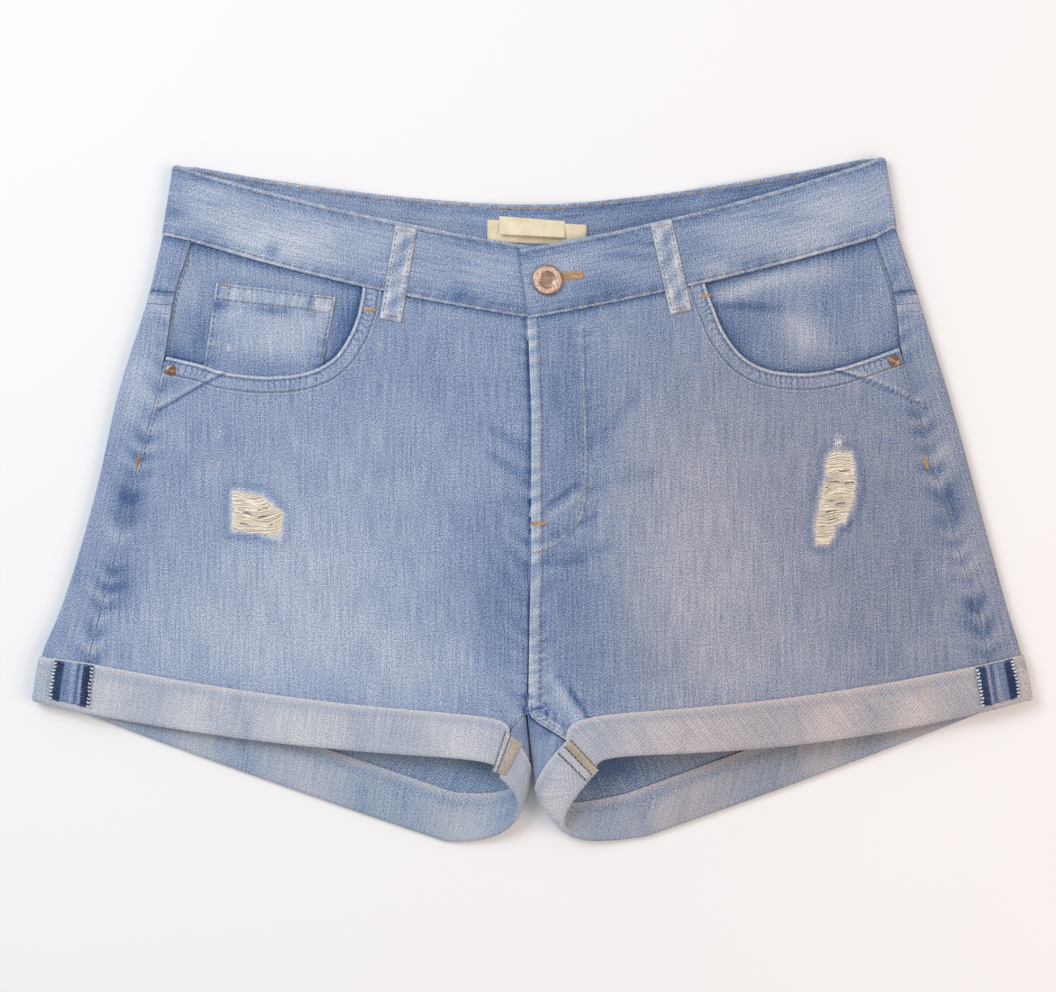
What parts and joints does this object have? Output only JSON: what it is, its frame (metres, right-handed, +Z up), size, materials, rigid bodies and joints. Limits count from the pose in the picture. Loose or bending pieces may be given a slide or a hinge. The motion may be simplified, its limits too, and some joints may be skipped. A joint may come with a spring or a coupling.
{
  "type": "denim shorts",
  "caption": "Pair of light-wash denim shorts laid flat, five-pocket cut with scooped pockets, one waist button, belt loops and turned-up hems.",
  "frame": {"origin": "on the table, under the middle of the whole", "axes": "+X to the wearer's left, +Y from the hems to the waist, +Z up from the table to the front of the garment"},
  "size_m": [0.5676, 0.389, 0.0227],
  "materials": {
    "washed_denim": "matt washed twill, light blue",
    "faded_denim": "matt washed twill, more faded",
    "inside_denim": "matt wrong side of the twill, grey white",
    "cream_ribbon": "matt woven ribbon, bare",
    "copper": "satin, slightly worn"
  },
  "bodies": {
    "root": {"waistband": "washed_denim", "front_right": "washed_denim", "front_left": "washed_denim", "pocket_facing_right": "faded_denim", "pocket_facing_left": "faded_denim", "coin_pocket": "faded_denim", "yoke_right": "washed_denim", "yoke_left": "washed_denim", "back_right": "washed_denim", "back_left": "washed_denim", "back_pocket_right": "washed_denim", "back_pocket_left": "washed_denim", "turn_up_right": "inside_denim", "turn_up_left": "inside_denim", "belt_loop_front_right": "faded_denim", "belt_loop_front_left": "faded_denim", "belt_loop_side_right": "faded_denim", "belt_loop_side_left": "faded_denim", "belt_loop_centre_back": "faded_denim", "label_ribbon": "cream_ribbon", "label_flap": "cream_ribbon", "button": "copper", "rivet_right": "copper", "rivet_left": "copper"}
  },
  "joints": []
}
